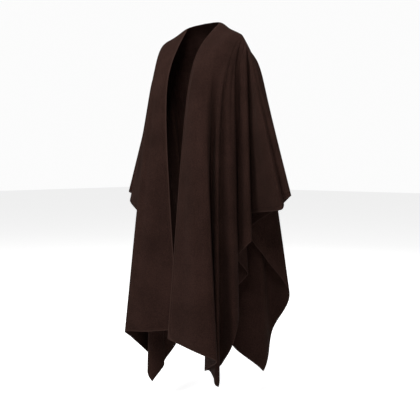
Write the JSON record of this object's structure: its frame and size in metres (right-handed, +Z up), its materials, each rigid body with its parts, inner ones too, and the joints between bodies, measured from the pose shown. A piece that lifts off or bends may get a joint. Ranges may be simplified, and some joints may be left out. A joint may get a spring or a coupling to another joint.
{
  "type": "open-front fleece poncho",
  "caption": "Hollow open-front fleece poncho in worn form, with draped side folds and pointed corners, held at the shoulders.",
  "frame": {"origin": "midway between the two points where the neck edge crosses the shoulders, where the wearer holds it up", "axes": "+Z up, +X to the wearer's left, -Y to the front, where the poncho is open"},
  "size_m": [0.8002, 0.481, 1.3819],
  "materials": {
    "fleece": "heavy brushed fleece, short matt nap with a faint sheen at grazing angles"
  },
  "bodies": {
    "root": {"left_half": "fleece", "right_half": "fleece"}
  },
  "joints": []
}
